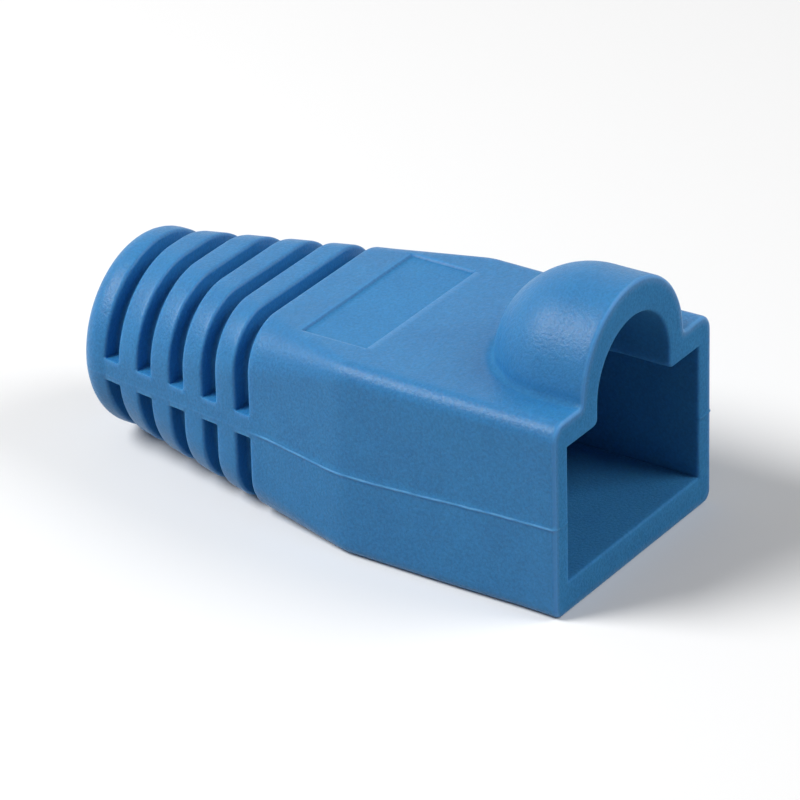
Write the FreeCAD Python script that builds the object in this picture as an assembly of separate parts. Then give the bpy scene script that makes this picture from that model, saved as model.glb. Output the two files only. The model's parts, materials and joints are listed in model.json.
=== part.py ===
import FreeCAD, Part
import math
import os

from FreeCAD import Vector

# Strain relief boot for an RJ45 plug, moulded in one piece from soft PVC.
# Millimetres. X runs across the boot, Y along the cable from the plug face
# to the cable end, Z up, with the latch hood on top and the underside at 0.
# While it is shaped, the plug face is at Y = 0. The last step centres it.

# The plug that the boot slides over, and the room left round it
plug_width = 11.68
plug_height = 6.6
plug_depth = 12.6
plug_side_clearance = 0.11
plug_height_clearance = 0.3

# Walls of the boxy body
side_wall = 1.15
floor_wall = 1.7
roof_wall = 1.5

# Body: straight from the plug face to the crease, then drawn in
crease_at = 12.3
crease_blend = 1.4
outline_gap = 1.0
body_length = 18.2
top_corner = 0.9
bottom_corner = 0.6

# Hood over the plug's latch: a half cylinder that ends in a quarter ball.
# Inside it is a round-topped arch with a sloping rear, open to the plug's room
hood_radius = 4.6
hood_length = 7.1
hood_fillet = 0.45
hood_wall = 1.25
latch_slot = 6.5
latch_rise = 4.3
latch_slope = 2.2

# Funnel inside, from the plug's room to the round bore
funnel_length = 4.4
cable_bore = 6.9

# Ribbed neck that bends with the cable, and the plain ring at its end
groove_count = 5
groove_pitch = 2.18
groove_width = 0.84
groove_depth = 0.85
groove_lip = 0.1
neck_flat = 0.1
ring_length = 1.75
ring_diameter = 10.2
ring_lift = 0.1
ring_proud = 0.03
ring_flats = 3

# Flush bridges across the grooves: one strip each side, one web underneath
strip_width = 1.15
strip_height = 5.1
web_width = 1.2

# Shallow bare label fields, on the roof and on the underside
label_at = 12.1
label_width = 9.4
label_length = 3.85
label_depth = 0.16
label_corner = 0.25

# Soft edges, and the fine raised line where the two mould halves meet
face_edge = 0.12
ring_edge = 1.15
bore_edge = 0.12
parting_height = 4.8
parting_width = 0.14
parting_proud = 0.05
parting_root = 0.25

# Worked out from the values above
cavity_width = plug_width + 2 * plug_side_clearance
cavity_height = plug_height + 2 * plug_height_clearance
cavity_roof = floor_wall + cavity_height
body_width = cavity_width + 2 * side_wall
body_height = cavity_roof + roof_wall
neck_length = (groove_count - 1) * groove_pitch + groove_width
neck_end = body_length + neck_length
groove_starts = [body_length + index * groove_pitch for index in range(groove_count)]
neck_size = ring_diameter - 2 * ring_proud
overall_length = neck_end + ring_length
ring_height = ring_lift + ring_diameter / 2
ring_wall = (ring_diameter - cable_bore) / 2
ring_round = min(ring_edge, ring_wall - 2 * bore_edge)
funnel_end = plug_depth + funnel_length
taper_length = neck_end - crease_at
roof_fall = body_height - ring_height - neck_size / 2

ALONG = Vector(0, 1, 0)
UP = Vector(0, 0, 1)
ORIGIN = Vector(0, 0, 0)
FAR = 100.0


def blend(start, end, share):
    """A value that lies the given share of the way from start to end."""
    return start + (end - start) * share


def block(low, high):
    """Plain block between two opposite corners."""
    size = high - low
    return Part.makeBox(size.x, size.y, size.z, low)


def polar(centre, radius, degrees):
    """Point at an angle round a centre, in the plane across the boot."""
    turn = math.radians(degrees)
    return centre + Vector(radius * math.cos(turn), 0, radius * math.sin(turn))


def quarter_turn(centre, radius, start):
    """Quarter circle that starts at an angle, in the plane across the boot."""
    points = [polar(centre, radius, start + step) for step in (0, 45, 90)]
    return Part.Arc(*points).toShape()


def joined(points):
    """Straight edges through the points, in order."""
    return [Part.makeLine(a, b) for a, b in zip(points, points[1:])]


def outline(y, width, bottom, top, upper, lower):
    """Rounded rectangle across the boot, with an upper and a lower corner radius."""
    half = width / 2
    corners = [
        quarter_turn(Vector(half - upper, y, top - upper), upper, 0),
        quarter_turn(Vector(upper - half, y, top - upper), upper, 90),
        quarter_turn(Vector(lower - half, y, bottom + lower), lower, 180),
        quarter_turn(Vector(half - lower, y, bottom + lower), lower, 270),
    ]
    edges = []
    for corner, following in zip(corners, corners[1:] + corners[:1]):
        edges.append(corner)
        edges += joined([corner.Vertexes[-1].Point, following.Vertexes[0].Point])
    return Part.Wire(edges)


def drawn_in(y):
    """Share of the whole taper that is reached at y, eased in over the crease."""
    past = y - crease_at
    if past <= -crease_blend / 2:
        return 0.0
    if past < crease_blend / 2:
        past = (past + crease_blend / 2) ** 2 / (2 * crease_blend)
    return past / taper_length


def skin(y, shrink=0.0):
    """Outside of body and neck at y: a box at the plug face, nearly a circle at the ring.

    The underside stays flat under the body and lifts a little under the neck.
    """
    share = drawn_in(y)
    neck_share = max(0.0, y - body_length) / neck_length
    round_end = (neck_size - neck_flat) / 2
    return outline(
        y,
        blend(body_width, neck_size, share) - 2 * shrink,
        blend(0, ring_height - neck_size / 2, neck_share) + shrink,
        body_height - roof_fall * share - shrink,
        blend(top_corner, round_end, share) - shrink,
        blend(bottom_corner, round_end, share) - shrink,
    )


def skin_solid(start, shrink=0.0):
    """Body and neck as one ruled loft. Its outlines stand close together on the taper."""
    taper_start = crease_at + crease_blend / 2
    steps = math.ceil((body_length - taper_start) / outline_gap)
    stations = [start, crease_at - crease_blend / 2, crease_at]
    stations += [blend(taper_start, body_length, step / steps) for step in range(steps)]
    stations += [*groove_starts, neck_end]
    return Part.makeLoft([skin(y, shrink) for y in stations], True, True)


def edges_in_face(shape, y):
    """Edges that lie in the plane across the boot at y."""
    return [
        edge for edge in shape.Edges
        if abs(edge.BoundBox.YMin - y) < 1e-4 and abs(edge.BoundBox.YMax - y) < 1e-4
    ]


def is_bore_edge(edge):
    """True for the round edge of the cable bore."""
    curve = edge.Curve
    return isinstance(curve, Part.Circle) and abs(curve.Radius - cable_bore / 2) < 1e-4


def make_ring(grown=0.0):
    """Plain ring at the cable end. The large round on its outer edge is turned in flats."""
    radius = ring_diameter / 2 + grown
    edge = ring_round + grown
    profile = [Vector(0, neck_end, 0), Vector(radius, neck_end, 0)]
    for turn in (math.radians(90 * step / ring_flats) for step in range(ring_flats + 1)):
        profile.append(Vector(
            radius - edge * (1 - math.cos(turn)),
            overall_length + grown - edge * (1 - math.sin(turn)),
            0,
        ))
    profile += [Vector(0, overall_length + grown, 0), profile[0]]
    ring = Part.Face(Part.makePolygon(profile)).revolve(ORIGIN, ALONG, 360)
    ring.translate(UP * ring_height)
    return ring


def make_hood():
    """Outside of the hood: a half cylinder that ends in a quarter ball, with a soft foot."""
    centre = Vector(0, 0, body_height)
    sunk = Vector(0, 0, body_height - roof_wall / 2)
    foot_x = math.sqrt((hood_radius + hood_fillet) ** 2 - hood_fillet ** 2)
    foot_centre = centre + Vector(foot_x, 0, hood_fillet)
    start = math.degrees(math.atan2(hood_fillet, foot_x))
    dome = Part.Arc(*[polar(centre, hood_radius, turn) for turn in (90, (90 + start) / 2, start)])
    foot = Part.Arc(*[
        polar(foot_centre, hood_fillet, turn) for turn in (180 + start, 225 + start / 2, 270)
    ])
    straight_edges = joined([
        centre + Vector(foot_x, 0, 0),
        sunk + Vector(foot_x, 0, 0),
        sunk,
        centre + Vector(0, 0, hood_radius),
    ])
    profile = Part.Face(Part.Wire([dome.toShape(), foot.toShape()] + straight_edges))
    straight = ALONG * (hood_length - hood_radius)
    one_side = profile.extrude(straight)
    other_side = one_side.mirror(ORIGIN, Vector(1, 0, 0))
    rear = profile.revolve(ORIGIN, UP, 180)
    rear.translate(straight)
    return one_side.fuse([other_side, rear])


def make_latch_room():
    """Room inside the hood: a round-topped arch on the cavity's roof, with a sloping rear."""
    half = latch_slot / 2
    depth = hood_length - hood_wall
    floor = cavity_roof - roof_wall / 3
    crown = cavity_roof + latch_rise
    side_view = [
        Vector(-half, -1, floor),
        Vector(-half, depth, floor),
        Vector(-half, depth, cavity_roof),
        Vector(-half, depth - latch_slope, crown),
        Vector(-half, -1, crown),
        Vector(-half, -1, floor),
    ]
    room = Part.Face(Part.makePolygon(side_view)).extrude(Vector(latch_slot, 0, 0))
    front = Vector(0, -1, crown - half)
    arch = Part.makeCylinder(half, depth + 1, front, ALONG)
    sides = block(Vector(-half, -1, floor), Vector(half, depth, crown - half))
    return room.common(arch.fuse(sides))


def make_plug_room():
    """Room for the plug, with a conical end that leads to the bore for the cable."""
    half = cavity_width / 2
    corner = math.hypot(half, max(ring_height - floor_wall, cavity_roof - ring_height))
    front = Vector(0, plug_depth, ring_height)
    cone = Part.makeCone(corner, cable_bore / 2, funnel_length, front, ALONG)
    room = block(Vector(-half, -1, floor_wall), Vector(half, plug_depth, cavity_roof))
    throat = block(Vector(-half, plug_depth, floor_wall), Vector(half, funnel_end, cavity_roof))
    bore = Part.makeCylinder(cable_bore / 2, overall_length, front, ALONG)
    return room.fuse([cone.common(throat), bore])


def soften_ends(boot):
    """Small edge breaks on the plug face and on the bore's mouth."""
    boot = boot.makeChamfer(face_edge, edges_in_face(boot, 0))
    mouth = [edge for edge in edges_in_face(boot, overall_length) if is_bore_edge(edge)]
    return boot.makeChamfer(bore_edge, mouth)


def make_groove(start):
    """Cutter for one groove: its section carried round the outline at its middle.

    Above the lip the section opens at 45 degrees and stands clear of the skin.
    """
    middle = start + groove_width / 2
    path = skin(middle)
    top = path.Edges[1].Vertexes[0].Point
    half = groove_width / 2
    clear = half + groove_lip + half
    section = [
        (-half, groove_lip),
        (-half, groove_depth),
        (half, groove_depth),
        (half, groove_lip),
        (clear, -half),
        (-clear, -half),
        (-half, groove_lip),
    ]
    points = [Vector(top.x, middle + y, top.z - depth) for y, depth in section]
    return path.makePipeShell([Part.Wire(joined(points))], True, True)


def make_grooves():
    """All grooves, each stopped at the two side strips and the web underneath."""
    strips = block(
        Vector(-FAR, 0, strip_height - strip_width / 2),
        Vector(FAR, FAR, strip_height + strip_width / 2),
    )
    web = block(Vector(-web_width / 2, 0, -FAR), Vector(web_width / 2, FAR, strip_height))
    return [make_groove(start).cut([strips, web]) for start in groove_starts]


def make_label():
    """Cutter for a label field with rounded corners, on the plane z = 0."""
    half = label_width / 2
    start = label_at - crease_at
    field = block(
        Vector(-half, start, -label_depth),
        Vector(half, start + label_length, label_depth),
    )
    upright = [edge for edge in field.Edges if abs(edge.tangentAt(0).z) > 0.9]
    return field.makeFillet(label_corner, upright)


def make_labels():
    """The label fields behind the crease, one along the sloping roof, one underneath."""
    upper = make_label()
    upper.rotate(ORIGIN, Vector(1, 0, 0), -math.degrees(math.atan(roof_fall / taper_length)))
    upper.translate(Vector(0, crease_at, body_height))
    lower = make_label()
    lower.translate(Vector(0, crease_at, 0))
    return [upper, lower]


def make_parting():
    """Parting line round both sides and across both end faces."""
    proud = skin_solid(-parting_proud, -parting_proud)
    proud = proud.makeChamfer(face_edge, edges_in_face(proud, -parting_proud))
    proud = proud.fuse(make_ring(parting_proud))
    core = skin_solid(parting_root, parting_root).fuse(make_ring(-parting_root))
    slab = block(
        Vector(-FAR, -FAR, parting_height - parting_width / 2),
        Vector(FAR, FAR, parting_height + parting_width / 2),
    )
    return proud.common(slab).cut([core, make_plug_room()])


boot = skin_solid(0).fuse([make_ring(), make_hood()]).removeSplitter()
boot = boot.cut([make_plug_room(), make_latch_room()]).removeSplitter().Solids[0]
boot = soften_ends(boot)
boot = boot.cut(make_grooves() + make_labels())
boot = boot.fuse(make_parting()).removeSplitter().Solids[0]
boot.translate(ALONG * (-overall_length / 2))

os.makedirs("parts", exist_ok=True)
boot.exportStep("parts/boot.step")
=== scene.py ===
import bpy
import json
import math
import numpy as np
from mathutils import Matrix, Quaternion, Vector


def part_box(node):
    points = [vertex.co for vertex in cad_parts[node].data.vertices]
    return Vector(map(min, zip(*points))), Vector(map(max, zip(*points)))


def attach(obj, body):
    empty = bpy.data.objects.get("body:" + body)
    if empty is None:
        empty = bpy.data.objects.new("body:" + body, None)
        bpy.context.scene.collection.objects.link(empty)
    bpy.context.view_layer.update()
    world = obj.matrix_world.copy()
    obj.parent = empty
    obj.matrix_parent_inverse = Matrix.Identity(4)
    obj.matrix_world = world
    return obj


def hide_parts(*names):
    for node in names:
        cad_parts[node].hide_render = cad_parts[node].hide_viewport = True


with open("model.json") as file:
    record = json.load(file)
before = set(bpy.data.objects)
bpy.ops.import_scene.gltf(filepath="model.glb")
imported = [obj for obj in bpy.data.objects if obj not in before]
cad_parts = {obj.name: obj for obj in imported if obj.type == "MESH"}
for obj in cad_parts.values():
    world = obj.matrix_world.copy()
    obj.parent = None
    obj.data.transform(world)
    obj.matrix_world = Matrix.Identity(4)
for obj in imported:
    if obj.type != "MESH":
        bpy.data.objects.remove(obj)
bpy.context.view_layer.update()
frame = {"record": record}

# Shapes are worked out in millimetres, with the plug face at y = 0, and put into metres at the end
mm = 0.001
boxLow, boxHigh = [np.array(corner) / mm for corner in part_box("boot")]
mounts = {mount["name"]: mount for mount in frame["record"]["mounts"]}
bore = mounts["cable_bore"]

boot = {
    "bodyWidth": 14.2,
    "bodyHeight": 10.4,
    "creaseAt": 12.3,
    "creaseBlend": 0.8,
    "bodyLength": 18.2,
    "topCorner": 0.9,
    "bottomCorner": 0.6,
    "hoodRadius": 4.6,
    "hoodLength": 7.1,
    "hoodFillet": 0.22,
    "hoodReach": 6.05,              # the roof's grid is drawn in from here to climb the hood
    "grooveCount": 5,
    "groovePitch": 2.18,
    "grooveWidth": 0.84,
    "grooveDepth": 0.85,
    "grooveLip": 0.2,
    "grooveRoot": 0.12,
    "grooveDraft": 0.03,
    "ringLength": 1.75,
    "ringRadius": 5.1,
    "ringLift": 0.1,
    "ringRound": 1.15,
    "stripWidth": 1.15,
    "stripHeight": 5.1,
    "webWidth": 1.2,
    "bridgeRamp": 0.09,             # a groove runs out over this width at a strip or at the web
    "partingProud": 0.05,
    "partingHeight": (4.95, 4.5, 4.8),      # at the plug face, at the crease and along the neck
    "partingWidth": 0.16,
    "partingFade": 0.85,            # the share of its height that the line loses on the neck
    "labelAt": 12.1,
    "labelWidth": 9.4,
    "labelLength": 3.85,
    "labelDepth": 0.12,
    "labelRamp": 0.12,
    "outerEdge": 0.2,
    "sway": 0.02,                   # soft unevenness of the large faces
    "edgeHighlightBends": (0.1, 0.9),        # radians from which an edge gets a painted highlight, and where it is strongest
    "hollowShadeBends": (0.15, 1.2),     # and from which a surface turning inwards gets painted shade, and where it is darkest
    "edgeHighlight": 0.35,               # strength of the painted highlight on an edge, where the parting line's is 1
    "rimHighlight": 1.0,                 # and of the painted highlight on the edge round the plug face
    "labelDull": 0.22,              # dullness of the label fields, where the plug face's is 1
    "sharpFrom": 50,                # degrees from which an edge isn't shaded smooth
}
room = {
    "width": 11.9,
    "floor": 1.7,
    "roof": 8.9,
    "depth": 12.6,
    "funnelEnd": 17.0,
    "boreRadius": bore["dims"]["r_mm"],
    "boreHeight": bore["pos_m"][2] / mm,
    "latchSlot": 6.5,
    "latchRise": 4.3,
    "latchDepth": 5.85,
    "archReach": 5.8,
    "slotEdge": 0.35,
    "innerEdge": 0.14,
    "mouthEdge": 0.12,
    "funnelSoft": 0.2,              # how softly the funnel's cone runs into the walls
}
gridLines = {                       # where the grid's lines and rows lie
    "cornerExtra": 1.5,             # a corner counts this much longer, so that it still gets lines
    "reachAtRing": 4.3,             # x at the ring of the line that starts at the hood's reach
    "labelAtRing": 3.4,             # and of the label's edge
    "belowParting": 0.25,
    "pastHood": 8.7,                # rows lie close up to here, past the hood's dome
    "pastLatch": 8.6,               # and up to here inside, past the dome of the latch's room
    "atFunnelEnd": 0.15,            # and this far either side of the funnel's end
}
neckEnd = boot["bodyLength"] + (boot["grooveCount"] - 1) * boot["groovePitch"] + boot["grooveWidth"]
bootLength = neckEnd + boot["ringLength"]
ringHeight = boot["ringLift"] + boot["ringRadius"]
labelEnd = boot["labelAt"] + boot["labelLength"]
beforeNeck = boot["bodyLength"] - 0.5   # here the parting line has reached the neck's height


def blend(start, end, share):
    return start + (end - start) * share


def smooth(value, low, high):       # 0 below low, 1 above high, an S curve between them
    share = np.clip((value - low) / (high - low), 0, 1)
    return share * share * (3 - 2 * share)


def spread(start, end, count):      # count values from start on, without the end
    return list(np.linspace(start, end, count, endpoint=False))


def sectionSizes(y):
    # Sizes of the rounded rectangle across the boot at each y. The taper is a straight line in y,
    # eased in by a parabola over the crease, and the ring behind the neck is a plain cylinder.
    past = y - boot["creaseAt"]
    half = boot["creaseBlend"] / 2
    eased = np.where(past < half, np.clip(past + half, 0, None) ** 2 / (4 * half), past)
    share = np.clip(eased / (neckEnd - boot["creaseAt"]), 0, 1)
    neckShare = np.clip((y - boot["bodyLength"]) / (neckEnd - boot["bodyLength"]), 0, 1)
    roundest = boot["ringRadius"] * 0.9995      # a hair of flat stays between two corners
    return {
        "half": blend(boot["bodyWidth"] / 2, boot["ringRadius"], share),
        "low": boot["ringLift"] * neckShare,
        "high": blend(boot["bodyHeight"], ringHeight + boot["ringRadius"], share),
        "upper": blend(boot["topCorner"], roundest, share),
        "lower": blend(boot["bottomCorner"], roundest, share),
    }


def sectionMeasures(size):
    # Running measure round half the outline, from bottom centre over the right side to top centre:
    # its length, with something added for each corner. Returned where each stretch ends.
    extra = gridLines["cornerExtra"]
    bottom = size["half"] - size["lower"]
    lower = bottom + size["lower"] * math.pi / 2 + extra
    side = lower + size["high"] - size["upper"] - size["low"] - size["lower"]
    upper = side + size["upper"] * math.pi / 2 + extra
    return bottom, lower, side, upper


def atBottom(size, x):              # the measure where the underside, or its corner, has this x
    bottom, lower, side, upper = sectionMeasures(size)
    turn = np.arcsin(np.clip((x - bottom) / size["lower"], 0, 1)) / (math.pi / 2)
    return np.where(x < bottom, x, bottom + turn * (lower - bottom))


def atSide(size, z):                # the measure where the side, or a corner, has this z
    bottom, lower, side, upper = sectionMeasures(size)
    straightLow = size["low"] + size["lower"]
    straightHigh = size["high"] - size["upper"]
    below = np.arccos(np.clip((straightLow - z) / size["lower"], 0, 1)) / (math.pi / 2)
    above = np.arcsin(np.clip((z - straightHigh) / size["upper"], 0, 1)) / (math.pi / 2)
    measure = np.where(z < straightLow, bottom + below * (lower - bottom), lower + z - straightLow)
    return np.where(z > straightHigh, side + above * (upper - side), measure)


def atTop(size, x):                 # the measure where the roof, or its corner, has this x
    bottom, lower, side, upper = sectionMeasures(size)
    flat = size["half"] - size["upper"]
    turn = np.arccos(np.clip((x - flat) / size["upper"], 0, 1)) / (math.pi / 2)
    return np.where(x < flat, upper + flat - x, side + turn * (upper - side))


def partingLine(y):
    # Height of the parting line, which isn't quite straight: it sags at the crease, in small waves
    atFace, atCrease, atNeck = boot["partingHeight"]
    height = blend(atFace, atCrease, smooth(y, 0, boot["creaseAt"]))
    height = blend(height, atNeck, smooth(y, boot["creaseAt"], beforeNeck))
    return height + 0.008 * np.sin(2.3 * y) + 0.004 * np.sin(5.9 * y + 1)


def outline(y):
    # The outside of body, neck and ring as a function of y and of the line round it. Each line
    # keeps to its feature all along: the edge of the web, a label or a strip, or the parting line.
    size = sectionSizes(y)
    toNeck = smooth(y, labelEnd + 0.3, neckEnd)
    label = blend(boot["labelWidth"] / 2, gridLines["labelAtRing"], toNeck)
    reach = blend(boot["hoodReach"], gridLines["reachAtRing"], toNeck)
    centre = np.zeros_like(y)
    web = np.full_like(y, boot["webWidth"] / 2)
    stripHigh = np.full_like(y, boot["stripHeight"] + boot["stripWidth"] / 2)
    parting = partingLine(y)
    toStrip = smooth(y, boot["creaseAt"], beforeNeck)
    stripLow = blend(parting - gridLines["belowParting"], stripHigh - boot["stripWidth"], toStrip)
    keys = [                        # a place round the outline, and the number of lines to the next
        (atBottom(size, centre), 4),
        (atBottom(size, web), 4),
        (atBottom(size, web + boot["bridgeRamp"]), 16),
        (atBottom(size, label), 3),
        (atBottom(size, label + boot["labelRamp"]), 24),
        (atSide(size, stripLow - boot["bridgeRamp"]), 4),
        (atSide(size, stripLow), 1),
        (atSide(size, parting - boot["partingWidth"] / 2), 6),
        (atSide(size, parting + boot["partingWidth"] / 2), 3),
        (atSide(size, stripHigh), 4),
        (atSide(size, stripHigh + boot["bridgeRamp"]), 22),
        (atTop(size, reach), 11),
        (atTop(size, label + boot["labelRamp"]), 3),
        (atTop(size, label), 40),
        (atTop(size, centre), 1),
    ]
    columns = []
    for (start, count), (end, _) in zip(keys, keys[1:]):
        columns += [blend(start, end, step / count) for step in range(count)]
    measure = np.stack(columns + [keys[-1][0]], axis=1)
    bottom, lower, side, upper = [part[:, None] for part in sectionMeasures(size)]
    half, low, high = size["half"][:, None], size["low"][:, None], size["high"][:, None]
    lowRadius, highRadius = size["lower"][:, None], size["upper"][:, None]
    lowTurn = (measure - bottom) / (lower - bottom) * math.pi / 2
    highTurn = (measure - side) / (upper - side) * math.pi / 2
    stretches = [measure < bottom, measure < lower, measure < side, measure < upper]
    x = np.select(stretches, [
        measure,
        half - lowRadius + lowRadius * np.sin(lowTurn),
        half + 0 * measure,
        half - highRadius + highRadius * np.cos(highTurn),
    ], half - highRadius - (measure - upper))
    z = np.select(stretches, [
        low + 0 * measure,
        low + lowRadius - lowRadius * np.cos(lowTurn),
        low + lowRadius + measure - lower,
        high - highRadius + highRadius * np.sin(highTurn),
    ], high + 0 * measure)
    return np.maximum(x, 0), z


def wholeRound(values, sign=1):     # the left half mirrors the right one: the grid closes on itself
    return np.concatenate([values, sign * values[:, -2:0:-1]], axis=1)


def sectionNormals(x, z):
    # Outward direction in the section at each line, longer at a corner, to keep an offset parallel
    stepX = np.roll(x, -1, axis=1) - x
    stepZ = np.roll(z, -1, axis=1) - z
    length = np.hypot(stepX, stepZ)
    nextX, nextZ = stepZ / length, -stepX / length
    lastX, lastZ = np.roll(nextX, 1, axis=1), np.roll(nextZ, 1, axis=1)
    share = 1 + nextX * lastX + nextZ * lastZ
    return (nextX + lastX) / share, (nextZ + lastZ) / share


def archProfile(radius, rise, foot, reach):
    # Half section of an arch, from its crown out to the flat beside it: a circle round a centre at
    # height rise - radius, a straight side if that is high enough, a round foot, then the flat.
    centre = rise - radius
    footX = math.sqrt((radius + foot) ** 2 - min(centre - foot, 0) ** 2)
    low = math.asin(max(foot - centre, 0) / (radius + foot))
    turn = np.linspace(math.pi / 2, low, 200)
    footTurn = np.linspace(math.pi + low, 1.5 * math.pi, 60)
    across = np.concatenate([radius * np.cos(turn), footX + foot * np.cos(footTurn), [reach]])
    up = np.concatenate([centre + radius * np.sin(turn), foot + foot * np.sin(footTurn), [0]])
    run = np.concatenate([[0], np.cumsum(np.hypot(np.diff(across), np.diff(up)))])
    return {"across": across, "up": up, "run": run, "reach": reach}


def carry(x, y, z, chosen, profile, axisEnd):
    # The flat roof's grid is drawn up an arch that ends in a dome. A point's distance from the
    # arch's axis, as a share of the reach, is the share of the profile's length that it moves to.
    behind = np.maximum(y - axisEnd, 0)
    distance = np.hypot(x, behind)
    inside = chosen & (distance < profile["reach"])
    run = distance / profile["reach"] * profile["run"][-1]
    across = np.interp(run, profile["run"], profile["across"])
    offAxis = inside & (distance > 1e-9)
    scale = np.where(offAxis, across / np.maximum(distance, 1e-9), 1)
    lift = np.where(inside, np.interp(run, profile["run"], profile["up"]), 0)
    return x * scale, np.where(y > axisEnd, axisEnd + behind * scale, y), z + lift


def quarter(count, start=0, end=90):        # angles of a quarter turn, in radians
    return [math.radians(step) for step in np.linspace(start, end, count)]


def grooveRows(start):
    # One groove's section as rows of (y, depth): round lip, leaning wall, round root, and back
    lip, root, depth = boot["grooveLip"], boot["grooveRoot"], boot["grooveDepth"]
    lean = boot["grooveDraft"]
    rows = [(start - lip + lip * math.sin(a), lip - lip * math.cos(a)) for a in quarter(5)]
    rows += [(start + lean * t, blend(lip, depth - root, t)) for t in (1 / 3, 2 / 3)]
    rows += [
        (start + lean + root - root * math.cos(a), depth - root + root * math.sin(a))
        for a in quarter(4)
    ]
    middle = start + boot["grooveWidth"] / 2
    back = [(2 * middle - y, deep) for y, deep in reversed(rows)]
    return rows + [(middle, depth)] + back


def outerRows():
    # Rows along the outside, as (y, groove depth, inset, share of the way to facing the cable end)
    edge, ramp = boot["outerEdge"], boot["labelRamp"]
    lip, pitch = boot["grooveLip"], boot["groovePitch"]
    pastHood = gridLines["pastHood"]
    places = spread(edge, pastHood, 56) + spread(pastHood, boot["labelAt"], 9)
    places += spread(boot["labelAt"], boot["labelAt"] + ramp, 3)
    places += spread(boot["labelAt"] + ramp, labelEnd - ramp, 12)
    places += spread(labelEnd - ramp, labelEnd, 3) + spread(labelEnd, boot["bodyLength"] - lip, 7)
    rows = [(y, 0, 0, 0) for y in places]
    for index in range(boot["grooveCount"]):
        start = boot["bodyLength"] + index * pitch
        rows += [(y, depth, 0, 0) for y, depth in grooveRows(start)]
        top = spread(start + boot["grooveWidth"] + lip, start + pitch - lip, 3)[1:]
        if index < boot["grooveCount"] - 1:
            rows += [(y, 0, 0, 0) for y in top]
    turned = boot["ringRound"]
    for a in quarter(10):
        y = bootLength - turned + turned * math.sin(a)
        rows.append((y, 0, turned - turned * math.cos(a), math.sin(a)))
    flat = boot["ringRadius"] - room["boreRadius"] - room["mouthEdge"]
    rows += [(bootLength, 0, blend(turned, flat, share), 1) for share in (1 / 3, 2 / 3, 1)]
    return [np.array(column, float) for column in zip(*rows)]


def flashLine(x, y, z):
    # How far the parting line stands out on both sides: a low round ridge across, and ragged along,
    # because the mould squeezes out a little more here and a little less there
    across = (z - partingLine(y)) / (boot["partingWidth"] / 2)
    ridge = np.where(np.abs(across) < 1, np.cos(across * math.pi / 2), 0)
    ragged = 0.8 + 0.14 * np.sin(3.1 * y + np.sign(x)) + 0.06 * np.sin(7.7 * y)
    onNeck = smooth(y, boot["bodyLength"] - 1.2, boot["bodyLength"] + 0.2)
    return boot["partingProud"] * ragged * (1 - boot["partingFade"] * onNeck) * ridge


def unevenness(x, y, z):
    # How far a moulded face lies inside its true place: three slow waves, never outwards
    wave = np.sin(0.61 * y + 0.7 * z + 0.4) + np.sin(0.93 * x - 0.34 * y + 1.9)
    wave = wave + np.sin(0.47 * y - 0.83 * z + 0.31 * x + 4.1)
    return boot["sway"] * (1 + wave / 3)


def labelDepth(x, y, z):
    half, ramp = boot["labelWidth"] / 2, boot["labelRamp"]
    along = smooth(y, boot["labelAt"], boot["labelAt"] + ramp)
    along = along * (1 - smooth(y, labelEnd - ramp, labelEnd))
    across = 1 - smooth(np.abs(x), half, half + ramp)
    onFlats = (z < 1) | (z > boot["bodyHeight"] - 1)
    return boot["labelDepth"] * along * across * onFlats


def hoodCarry(x, y, z, chosen):
    radius, reach = boot["hoodRadius"], boot["hoodReach"]
    profile = archProfile(radius, radius, boot["hoodFillet"], reach)
    return carry(x, y, z, chosen, profile, boot["hoodLength"] - radius)


def makeOutside():
    # Each point of the outline moves along its outward direction: out by the parting line, and in
    # by the groove, the ring's round, the label field and the slow waves. Then the roof is carried
    # up the hood.
    y, grooveDepth, inset, turned = [column[:, None] for column in outerRows()]
    x, z = outline(y[:, 0])
    x, z = wholeRound(x, -1), wholeRound(z)
    y = y + 0 * x
    normalX, normalZ = sectionNormals(x, z)
    ramp = boot["bridgeRamp"]
    fromStrip = np.abs(z - boot["stripHeight"]) - boot["stripWidth"] / 2
    web = smooth(np.abs(x), boot["webWidth"] / 2, boot["webWidth"] / 2 + ramp)
    opened = smooth(fromStrip, 0, ramp) * np.where(z < boot["stripHeight"], web, 1)
    bodyShare = smooth(y, 0.1, 2.5) * (1 - smooth(y, boot["bodyLength"] - 1, boot["bodyLength"]))
    flash = flashLine(x, y, z)
    depth = grooveDepth * opened + inset + labelDepth(x, y, z) + unevenness(x, y, z) * bodyShare
    rise = flash * np.sqrt(1 - turned ** 2) - depth
    roof = (z > boot["bodyHeight"] - 0.01) & (y < boot["labelAt"])
    newX, newY, newZ = x + normalX * rise, y + flash * turned, z + normalZ * rise
    return hoodCarry(newX, newY, newZ, roof) + (flash, x, z)


def frontSection():
    # The plug face's outline, arch and all, with its outward directions and the parting line on it
    y = np.full(1, boot["outerEdge"])
    x, z = outline(y)
    x, z = wholeRound(x, -1), wholeRound(z)
    roof = z > boot["bodyHeight"] - 0.01
    faceX, _, faceZ = hoodCarry(x, y[:, None] + 0 * x, z, roof)
    return faceX, faceZ, sectionNormals(faceX, faceZ), flashLine(x, boot["outerEdge"], z)


def makeOuterEdge():                # from the plug face round its outer edge
    x, z, (normalX, normalZ), flash = frontSection()
    edge = boot["outerEdge"]
    turn = np.array(quarter(4, 90, 0)[:-1])[:, None]
    rise = flash * np.cos(turn) - edge * (1 - np.cos(turn))
    return x + normalX * rise, edge * (1 - np.sin(turn)) - flash * np.sin(turn), z + normalZ * rise


def nearestLine(x, place, chosen):
    return np.argmin(np.where(chosen, np.abs(x - place), np.inf))


def middleOfCorner(radius):         # x halfway round an outer corner at the plug face
    return boot["bodyWidth"] / 2 - radius * (1 - math.sqrt(0.5))


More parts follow.
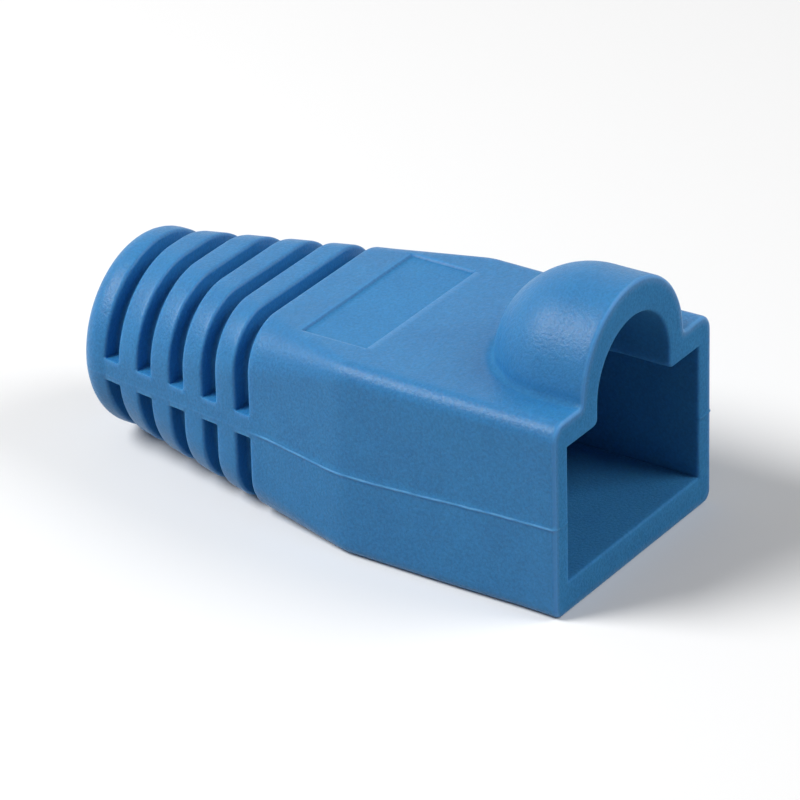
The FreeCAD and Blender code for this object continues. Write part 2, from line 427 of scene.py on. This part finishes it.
def roomSection(grow):
    # The plug's room in the section, line for line with the outside: its sharp corners lie on the
    # lines along the middle of the outer corners, and the arch springs where the hood's foot is.
    x, z = [values[0] for values in outline(np.zeros(1))]
    lines = np.arange(len(x))
    half, floor, roof = room["width"] / 2 + grow, room["floor"] - grow, room["roof"] + grow
    upper = z > boot["stripHeight"]
    lowCorner = nearestLine(x, middleOfCorner(boot["bottomCorner"]), ~upper)
    highCorner = nearestLine(x, middleOfCorner(boot["topCorner"]), upper)
    foot = nearestLine(x, boot["hoodRadius"] + boot["hoodFillet"], upper)
    stripHalf = boot["stripWidth"] / 2 + boot["bridgeRamp"]
    strip = [boot["stripHeight"] - stripHalf, boot["stripHeight"] + stripHalf]
    radius, reach, edge = room["latchSlot"] / 2 + grow, room["archReach"], room["slotEdge"]
    profile = archProfile(radius, room["latchRise"], edge - grow / 2, reach)
    spring = np.searchsorted(profile["across"], radius + edge / 2)
    springAt = profile["run"][spring] / profile["run"][-1] * reach
    alongFloor = x / x[lowCorner] * half
    upSide = np.interp(z, [z[lowCorner], *strip, z[highCorner]], [floor, *strip, roof])
    alongRoof = np.interp(x, [0, x[foot], x[highCorner]], [0, springAt, half])
    onFloor, onRoof = lines <= lowCorner, lines >= highCorner
    roomX = np.where(onFloor, alongFloor, np.where(onRoof, alongRoof, half))[None]
    roomZ = np.where(onFloor, floor, np.where(onRoof, roof, upSide))[None]
    return wholeRound(roomX, -1), wholeRound(roomZ), wholeRound(onRoof[None]), profile


def latchCarry(x, y, z, chosen, profile):
    return carry(x, y, z, chosen, profile, room["latchDepth"] - room["latchSlot"] / 2)


def insideRows():                   # from the bore's mouth through the funnel to the plug face
    past = gridLines["pastLatch"]
    before = room["funnelEnd"] + gridLines["atFunnelEnd"]
    behind = room["funnelEnd"] - gridLines["atFunnelEnd"]
    rows = spread(bootLength - room["mouthEdge"], before, 12) + spread(before, behind, 3)
    rows += spread(behind, room["depth"], 20) + spread(room["depth"], past, 6)
    return np.array(rows + list(np.linspace(past, room["innerEdge"], 44)))[:, None]


def makeInside(ringX, ringZ):
    # Each line is held by its angle round the bore. In the plug's room it lies on the walls, in the
    # funnel on the wall or the cone, whichever is nearer the bore's axis, and along the bore it
    # turns slowly to the angle that the same line has on the ring.
    x, z, roof, profile = roomSection(0)
    y = insideRows()
    up = z - room["boreHeight"]
    angle, distance = np.arctan2(up, x), np.hypot(x, up)
    ringAngle = np.arctan2(ringZ - room["boreHeight"], ringX)
    turned = (ringAngle - angle + math.pi) % (2 * math.pi) - math.pi
    funnelEnd = room["funnelEnd"]
    angle = angle + turned * smooth(y, funnelEnd, bootLength - room["mouthEdge"])
    radius = np.interp(y, [room["depth"], funnelEnd], [distance.max(), room["boreRadius"]])
    soft = room["funnelSoft"] * (1 - smooth(y, funnelEnd - 1, funnelEnd)) + 1e-6
    share = np.clip(0.5 + 0.5 * (distance - radius) / soft, 0, 1)
    nearer = blend(distance, radius, share) - soft * share * (1 - share)
    inFunnel = y > room["depth"]
    insideX = np.where(inFunnel, nearer * np.cos(angle), x)
    insideZ = np.where(inFunnel, nearer * np.sin(angle) + room["boreHeight"], z)
    y = y + 0 * x
    return latchCarry(insideX, y, insideZ, roof & (y < room["depth"] - 1), profile)


def makeMouth(ringX, ringZ, flash):
    # The bore's mouth: a small round from the ring's end face into the bore
    edge = room["mouthEdge"]
    turn = np.array(quarter(5)[1:-1])[:, None]
    angle = np.arctan2(ringZ - room["boreHeight"], ringX)
    radius = room["boreRadius"] + edge - edge * np.sin(turn)
    y = bootLength - edge + edge * np.cos(turn) + flash * np.cos(turn)
    return radius * np.cos(angle), y + 0 * angle, radius * np.sin(angle) + room["boreHeight"]


def makeInnerEdge(flash):           # from the walls of the plug's room round to the plug face
    edge = room["innerEdge"]
    rows = []
    for turn in quarter(4)[1:]:
        x, z, roof, profile = roomSection(edge * (1 - math.cos(turn)))
        y = edge * (1 - math.sin(turn)) + 0 * x
        x, y, z = latchCarry(x, y, z, roof, profile)
        rows.append((x, y - flash * math.sin(turn), z))
    return [np.concatenate(part) for part in zip(*rows)]


def bendOfGrid(points, outwards, reach):
    # How far the surface turns at each point, in radians: the change of direction from the chord
    # before it to the chord after it, each reach lines long, along both families of lines. Edges
    # come out positive, hollows negative.
    bend = 0
    for axis in (0, 1):
        ahead = np.roll(points, -reach, axis=axis) - points
        behind = points - np.roll(points, reach, axis=axis)
        ahead = ahead / np.maximum(np.linalg.norm(ahead, axis=-1, keepdims=True), 1e-12)
        behind = behind / np.maximum(np.linalg.norm(behind, axis=-1, keepdims=True), 1e-12)
        bend = bend - ((ahead - behind) * outwards).sum(axis=-1)
    return bend


def gridNormals(points):
    along = np.roll(points, -1, axis=0) - np.roll(points, 1, axis=0)
    around = np.roll(points, -1, axis=1) - np.roll(points, 1, axis=1)
    normals = np.cross(around, along)
    return normals / np.maximum(np.linalg.norm(normals, axis=-1, keepdims=True), 1e-15)


def meshFromGrid(name, x, y, z, paintedHighlight, dull):
    # A grid that closes on itself both ways, written straight into a mesh, with its faces outwards.
    # The attribute edge, a painted highlight on edges and the parting line, and dull are the larger
    # of what the bends give and of what comes in; hollowShade, painted shade in the hollows, comes
    # from the bends alone.
    rows, columns = x.shape
    points = np.stack([x, y, z], axis=-1)
    index = np.arange(rows * columns).reshape(rows, columns)
    nextRow, nextColumn = np.roll(index, -1, axis=0), np.roll(index, -1, axis=1)
    opposite = np.roll(nextRow, -1, axis=1)
    quads = np.stack([index, nextColumn, opposite, nextRow], axis=-1).reshape(-1, 4)
    flat = points.reshape(-1, 3)
    a, b, c, d = [flat[quads[:, corner]] for corner in range(4)]
    sixVolumes = (np.cross(a, b) * c).sum() + (np.cross(a, c) * d).sum()
    outwards = gridNormals(points) * np.sign(sixVolumes)
    # edge: a painted highlight, paler colour on convex edges where light would catch them
    edge = smooth(bendOfGrid(points, outwards, 1), *boot["edgeHighlightBends"]) * boot["edgeHighlight"]
    # hollowShade: painted shade, darker colour where the surface turns inwards
    hollowShade = smooth(-bendOfGrid(points, outwards, 3), *boot["hollowShadeBends"])
    shares = {"edge": np.maximum(edge, paintedHighlight), "hollowShade": hollowShade, "dull": np.maximum(hollowShade, dull)}
    if sixVolumes < 0:
        quads = quads[:, ::-1]
    mesh = bpy.data.meshes.new(name)
    mesh.vertices.add(len(flat))
    mesh.vertices.foreach_set("co", flat.astype(np.float32).ravel())
    mesh.loops.add(quads.size)
    mesh.loops.foreach_set("vertex_index", quads.astype(np.int32).ravel())
    mesh.polygons.add(len(quads))
    mesh.polygons.foreach_set("loop_start", np.arange(0, quads.size, 4, dtype=np.int32))
    mesh.update(calc_edges=True)
    for attribute, share in shares.items():
        mesh.attributes.new(attribute, "FLOAT", "POINT").data.foreach_set("value", share.ravel())
    mesh.polygons.foreach_set("use_smooth", np.ones(len(quads), bool))
    mesh.set_sharp_from_angle(angle=math.radians(boot["sharpFrom"]))
    piece = bpy.data.objects.new(name, mesh)
    bpy.context.scene.collection.objects.link(piece)
    print(name, rows, "rows", columns, "lines", 2 * len(quads), "triangles")
    print(name, "holds", round(abs(sixVolumes) / 6 / mm ** 3), "mm3")
    return piece


def makeBoot():
    # The parts follow one another along the grid: down the outside to the ring, through the bore
    # and the plug's room back to the plug face, and over it to where the outside begins
    outsideX, outsideY, outsideZ, ridge, lineX, lineZ = makeOutside()
    flash = frontSection()[3]
    ringX, ringZ = lineX[-1:], lineZ[-1:]
    innerEdge, outerEdge = makeInnerEdge(flash), makeOuterEdge()
    share = np.array([0.25, 0.5, 0.75])[:, None]
    face = [blend(inner[-1:], outer[:1], share) for inner, outer in zip(innerEdge, outerEdge)]
    parts = [
        (outsideX, outsideY, outsideZ),
        makeMouth(ringX, ringZ, flash),
        makeInside(ringX, ringZ),
        innerEdge,
        face,
        outerEdge,
    ]
    x, y, z = [np.concatenate(part) for part in zip(*parts)]
    outside, rim = len(ridge), len(outerEdge[0])
    rimTurn = np.array(quarter(rim + 1, 90, 0)[:-1])[:, None]
    # paintedHighlight: a painted highlight along the parting line's ridge and round the plug face's
    # outer edge
    paintedHighlight, dull = np.zeros_like(x), np.ones_like(x)
    paintedHighlight[:outside] = np.clip(ridge / boot["partingProud"], 0, 1)
    paintedHighlight[-rim:] = boot["rimHighlight"] * np.sin(2 * rimTurn) ** 2
    dull[:outside] = labelDepth(x, y, z)[:outside] / boot["labelDepth"] * boot["labelDull"]
    dull[-rim:] = 0
    plugFace = boxLow[1] + boot["partingProud"]
    return meshFromGrid("boot_moulding", x * mm, (y + plugFace) * mm, z * mm, paintedHighlight, dull)


pvc = {
    "blue": (0.031, 0.21, 0.465, 1),
    "deepBlue": (0.028, 0.192, 0.435, 1),
    "edgeHighlightBlue": (0.12, 0.4, 0.78, 1),       # painted highlight, paler along edges, the parting line and the plug face's rim
    # painted shade, darker down in the hollows
    "hollowShadeBlue": (0.012, 0.085, 0.23, 1),
    "edgeHighlightStrength": 0.9,
    "hollowShadeStrength": 0.1,
    "specular": 0.27,
    "roughness": (0.33, 0.46),      # where the satin sheen is strongest and weakest
    "dullRoughness": 0.9,           # of the plug face, the room behind it and the hollows
    "patches": 0.35,                # slow changes of tone, in patches a millimetre
    "satin": 4.3,                   # changes of the sheen, a millimetre
    "grain": 7.0,                   # grains of the mould's spark-eroded face, a millimetre
    "grainTone": 0.14,              # how far a grain is lighter or darker
    "grainHeight": 0.028,           # in millimetres
    "pits": 2.8,                    # broader dips of the same face, a millimetre
    "pitHeight": 0.006,
    "glow": 0.5,                    # share of the light that wanders through the soft plastic
    "glowReach": 0.7,               # how far it gets, in millimetres
    "glowTint": (0.3, 0.6, 1.0),    # red gets least far, blue furthest
}


def addNode(tree, kind, **sockets):
    node = tree.nodes.new(kind)
    for name, value in sockets.items():
        node.inputs[name.replace("_", " ")].default_value = value
    return node


def mixColours(tree, share, first, second):
    # A colour between two others; each may be a fixed value or another node's output
    node = tree.nodes.new("ShaderNodeMix")
    node.data_type = "RGBA"
    for index, value in ((0, share), (6, first), (7, second)):
        if isinstance(value, bpy.types.NodeSocket):
            tree.links.new(value, node.inputs[index])
        else:
            node.inputs[index].default_value = value
    return node.outputs[2]


def rescale(tree, value, low, high, newLow, newHigh):
    limits = {"From_Min": low, "From_Max": high, "To_Min": newLow, "To_Max": newHigh}
    node = addNode(tree, "ShaderNodeMapRange", **limits)
    tree.links.new(value, node.inputs["Value"])
    return node.outputs["Result"]


def makeSoftPvc():
    # Soft PVC from a spark-eroded mould: one blue with a fine grain and an uneven satin sheen, with
    # a painted highlight along its edges and the parting line, and painted shade down in its
    # hollows.
    # Most of a noise lies between 0.3 and 0.7, so it is stretched from about there.
    material = bpy.data.materials.new("soft_pvc")
    material.use_nodes = True
    tree = material.node_tree
    shader = tree.nodes["Principled BSDF"]
    place = tree.nodes.new("ShaderNodeTexCoord")
    inMm = addNode(tree, "ShaderNodeMapping", Scale=(1 / mm,) * 3)
    tree.links.new(place.outputs["Object"], inMm.inputs["Vector"])

    def noise(scale, detail, rough=0.5):
        node = addNode(tree, "ShaderNodeTexNoise", Scale=scale, Detail=detail, Roughness=rough)
        tree.links.new(inMm.outputs["Vector"], node.inputs["Vector"])
        return node.outputs["Fac"]

    def shareOf(name, strength):    # one of the mesh's attributes, times a strength
        node = tree.nodes.new("ShaderNodeAttribute")
        node.attribute_name = name
        return rescale(tree, node.outputs["Fac"], 0, 1, 0, strength)

    grain = noise(pvc["grain"], 3, 0.6)
    patches = rescale(tree, noise(pvc["patches"], 4, 0.6), 0.35, 0.65, 0, 1)
    colour = mixColours(tree, patches, pvc["deepBlue"], pvc["blue"])
    tone = pvc["grainTone"]
    shade = tree.nodes.new("ShaderNodeVectorMath")
    shade.operation = "SCALE"
    tree.links.new(colour, shade.inputs[0])
    tree.links.new(rescale(tree, grain, 0.3, 0.7, 1 - tone, 1 + tone), shade.inputs["Scale"])
    # painted shade in the hollows, then a painted highlight on the edges, mixed into the base
    # colour
    inHollowShade = shareOf("hollowShade", pvc["hollowShadeStrength"])
    colour = mixColours(tree, inHollowShade, shade.outputs[0], pvc["hollowShadeBlue"])
    colour = mixColours(tree, shareOf("edge", pvc["edgeHighlightStrength"]), colour, pvc["edgeHighlightBlue"])
    tree.links.new(colour, shader.inputs["Base Color"])
    satin = rescale(tree, noise(pvc["satin"], 3, 0.7), 0.3, 0.7, *pvc["roughness"])
    matt = (pvc["dullRoughness"],) * 3 + (1,)
    tree.links.new(mixColours(tree, shareOf("dull", 1), satin, matt), shader.inputs["Roughness"])
    shader.inputs["Specular IOR Level"].default_value = pvc["specular"]
    shader.inputs["Subsurface Weight"].default_value = pvc["glow"]
    shader.inputs["Subsurface Radius"].default_value = pvc["glowTint"]
    shader.inputs["Subsurface Scale"].default_value = pvc["glowReach"] * mm
    pits = addNode(tree, "ShaderNodeBump", Strength=1.0, Distance=pvc["pitHeight"] * mm)
    tree.links.new(noise(pvc["pits"], 2), pits.inputs["Height"])
    relief = addNode(tree, "ShaderNodeBump", Strength=1.0, Distance=pvc["grainHeight"] * mm)
    tree.links.new(grain, relief.inputs["Height"])
    tree.links.new(pits.outputs["Normal"], relief.inputs["Normal"])
    tree.links.new(relief.outputs["Normal"], shader.inputs["Normal"])
    return material


bootPiece = makeBoot()
bootPiece.data.materials.append(makeSoftPvc())
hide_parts("boot")
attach(bootPiece, "root")
print("boot made")

studio = {
    "floorSize": 4.0,
    "floorSeen": 0.93,              # the floor's grey as the camera sees it
    "floorBounce": 0.42,            # and as it lights the object from below
    "ambient": 0.13,
    "lamps": [                      # azimuth, elevation, distance and size in metres, watts
        ("keyLamp", -138, 47, 0.3, 0.16, 0.93),
        ("fillLamp", 30, 38, 0.6, 0.4, 1.75),
    ],
}
photoView = {                       # fitted to the photo, in metres
    "from": (-0.2027, -0.1403, 0.1359),
    "aim": (0.0006, -0.0008, 0.0046),
    "lens": 255,
    "roll": -1.5,                   # degrees
}


def directRays(tree):               # 1 for what is seen itself, in a gloss or through glass, else 0
    path = tree.nodes.new("ShaderNodeLightPath")
    seen = path.outputs["Is Camera Ray"]
    for name in ("Is Glossy Ray", "Is Transmission Ray"):
        either = tree.nodes.new("ShaderNodeMath")
        either.operation = "MAXIMUM"
        tree.links.new(seen, either.inputs[0])
        tree.links.new(path.outputs[name], either.inputs[1])
        seen = either.outputs[0]
    return seen


def makeFloor():
    mesh = bpy.data.meshes.new("floor")
    half = studio["floorSize"] / 2
    corners = [(-half, -half, 0), (half, -half, 0), (half, half, 0), (-half, half, 0)]
    mesh.from_pydata(corners, [], [(0, 1, 2, 3)])
    floor = bpy.data.objects.new("floor", mesh)
    bpy.context.scene.collection.objects.link(floor)
    material = bpy.data.materials.new("paleFloor")
    material.use_nodes = True
    tree = material.node_tree
    tree.nodes["Principled BSDF"].inputs["Roughness"].default_value = 0.9
    grey = rescale(tree, directRays(tree), 0, 1, studio["floorBounce"], studio["floorSeen"])
    tree.links.new(grey, tree.nodes["Principled BSDF"].inputs["Base Color"])
    mesh.materials.append(material)


def makeWorld():
    # The lamps' level lights the object, and only what sees the world itself gets it white
    world = bpy.data.worlds.new("studio")
    bpy.context.scene.world = world
    world.use_nodes = True
    tree = world.node_tree
    background = tree.nodes["Background"]
    background.inputs["Color"].default_value = (1, 1, 1, 1)
    strength = rescale(tree, directRays(tree), 0, 1, studio["ambient"], 1)
    tree.links.new(strength, background.inputs["Strength"])


def makeLamps():
    target = Vector((0, 0, boxHigh[2] / 2 * mm))
    for name, azimuth, elevation, distance, size, watts in studio["lamps"]:
        a, e = math.radians(azimuth), math.radians(elevation)
        direction = Vector((math.sin(a) * math.cos(e), -math.cos(a) * math.cos(e), math.sin(e)))
        light = bpy.data.lights.new(name, "AREA")
        light.shape = "DISK"
        light.size = size
        light.energy = watts
        lamp = bpy.data.objects.new(name, light)
        lamp.location = target + direction * distance
        lamp.rotation_euler = direction.to_track_quat("Z", "Y").to_euler()
        bpy.context.scene.collection.objects.link(lamp)


def makeCamera():
    camera = bpy.data.objects.new("photoCamera", bpy.data.cameras.new("photoCamera"))
    camera.location = photoView["from"]
    back = Vector(photoView["from"]) - Vector(photoView["aim"])
    roll = Quaternion((0, 0, 1), math.radians(photoView["roll"]))
    camera.rotation_euler = (back.to_track_quat("Z", "Y") @ roll).to_euler()
    camera.data.lens = photoView["lens"]
    camera.data.clip_start = 0.01
    camera.data.clip_end = 20
    bpy.context.scene.collection.objects.link(camera)
    bpy.context.scene.camera = camera


makeFloor()
makeWorld()
makeLamps()
makeCamera()
bpy.context.scene.view_settings.view_transform = "Standard"
print("stage set")
